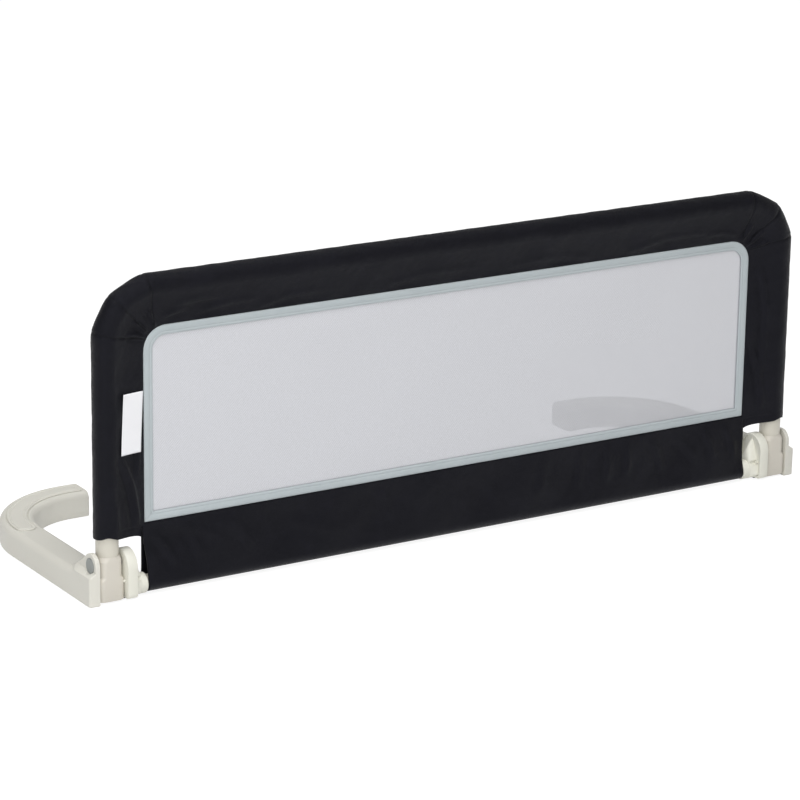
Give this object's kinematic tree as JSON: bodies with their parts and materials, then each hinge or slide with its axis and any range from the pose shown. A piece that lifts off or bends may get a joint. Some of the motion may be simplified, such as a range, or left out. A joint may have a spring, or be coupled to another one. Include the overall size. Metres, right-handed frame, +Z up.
{
  "type": "folding bed guard rail",
  "caption": "Cloth-covered tube frame with a mesh window on hooked arms that slide under a mattress and turn about button-released pivots.",
  "frame": {"origin": "centre of the footprint on the floor, under the middle of the rail", "axes": "+X along the rail, +Y from the panel towards the hooks of the arms, +Z up"},
  "size_m": [1.06, 0.359, 0.3996],
  "materials": {
    "housing_plastic": "warm ivory moulded plastic with a fine satin grain",
    "hub_plastic": "warm ivory moulded plastic with a fine satin grain",
    "arm_plastic": "warm ivory moulded plastic with a fine satin grain",
    "grip_pad": "ivory pad with a soft dull surface",
    "button": "mid grey satin plastic",
    "tube": "ivory powder coat",
    "steel": "zinc plated steel",
    "rubber": "black rubber",
    "cloth": "near black plain woven polyester with a faint sheen",
    "trim": "grey green woven binding tape",
    "net": "light grey see-through knitted mesh",
    "label": "bare white woven label"
  },
  "bodies": {
    "rail": {"left_post_tube": "tube", "left_tube_snap_button": "steel", "left_post_housing": "housing_plastic", "left_post_rivet": "steel", "left_hub": "hub_plastic", "left_hub_screw_1": "steel", "left_hub_screw_2": "steel", "left_hub_foot": "rubber", "left_axle_bolt": "steel", "left_axle_nut": "steel", "left_lock_spring": "steel", "left_cover_corner": "cloth", "left_cover_sleeve": "cloth", "right_post_tube": "tube", "right_tube_snap_button": "steel", "right_post_housing": "housing_plastic", "right_post_rivet": "steel", "right_hub": "hub_plastic", "right_hub_screw_1": "steel", "right_hub_screw_2": "steel", "right_hub_foot": "rubber", "right_axle_bolt": "steel", "right_axle_nut": "steel", "right_lock_spring": "steel", "right_cover_corner": "cloth", "right_cover_sleeve": "cloth", "top_tube": "tube", "lower_tube": "tube", "cover_top_sleeve": "cloth", "window_mesh": "net", "window_binding": "trim", "skirt": "cloth", "label_tab": "label"},
    "left_arm": {"left_arm_shell": "arm_plastic", "left_arm_base_plate": "arm_plastic", "left_arm_grip_pad": "grip_pad", "left_arm_screw_1": "steel", "left_arm_screw_2": "steel", "left_arm_screw_3": "steel", "left_arm_screw_4": "steel", "left_arm_screw_5": "steel"},
    "left_button": {"left_release_button": "button"},
    "left_gear": {"left_lock_gear": "steel"},
    "right_arm": {"right_arm_shell": "arm_plastic", "right_arm_base_plate": "arm_plastic", "right_arm_grip_pad": "grip_pad", "right_arm_screw_1": "steel", "right_arm_screw_2": "steel", "right_arm_screw_3": "steel", "right_arm_screw_4": "steel", "right_arm_screw_5": "steel"},
    "right_button": {"right_release_button": "button"},
    "right_gear": {"right_lock_gear": "steel"}
  },
  "joints": [
    {"name": "left_arm_turn", "type": "hinge", "parent": "rail", "child": "left_arm", "pos_m": [-0.5, -0.1575, 0.048], "axis": [1, 0, 0], "range_deg": [-180, 86]},
    {"name": "left_lock_slide", "type": "slide", "parent": "rail", "child": "left_gear", "axis": [1, 0, 0], "range_m": [0, 0.002], "stiffness_N_per_m": 1500, "springref_m": -0.003, "deforming": ["left_lock_spring"]},
    {"name": "left_button_press", "type": "slide", "parent": "left_arm", "child": "left_button", "axis": [1, 0, 0], "range_m": [0, 0.002]},
    {"name": "right_arm_turn", "type": "hinge", "parent": "rail", "child": "right_arm", "pos_m": [0.5, -0.1575, 0.048], "axis": [1, 0, 0], "range_deg": [-180, 86]},
    {"name": "right_lock_slide", "type": "slide", "parent": "rail", "child": "right_gear", "axis": [-1, 0, 0], "range_m": [0, 0.002], "stiffness_N_per_m": 1500, "springref_m": -0.003, "deforming": ["right_lock_spring"]},
    {"name": "right_button_press", "type": "slide", "parent": "right_arm", "child": "right_button", "axis": [-1, 0, 0], "range_m": [0, 0.002]}
  ],
  "couplings": [
    {"joint": "left_button_press", "follows": "left_lock_slide", "ratio": 1},
    {"joint": "right_button_press", "follows": "right_lock_slide", "ratio": 1}
  ]
}
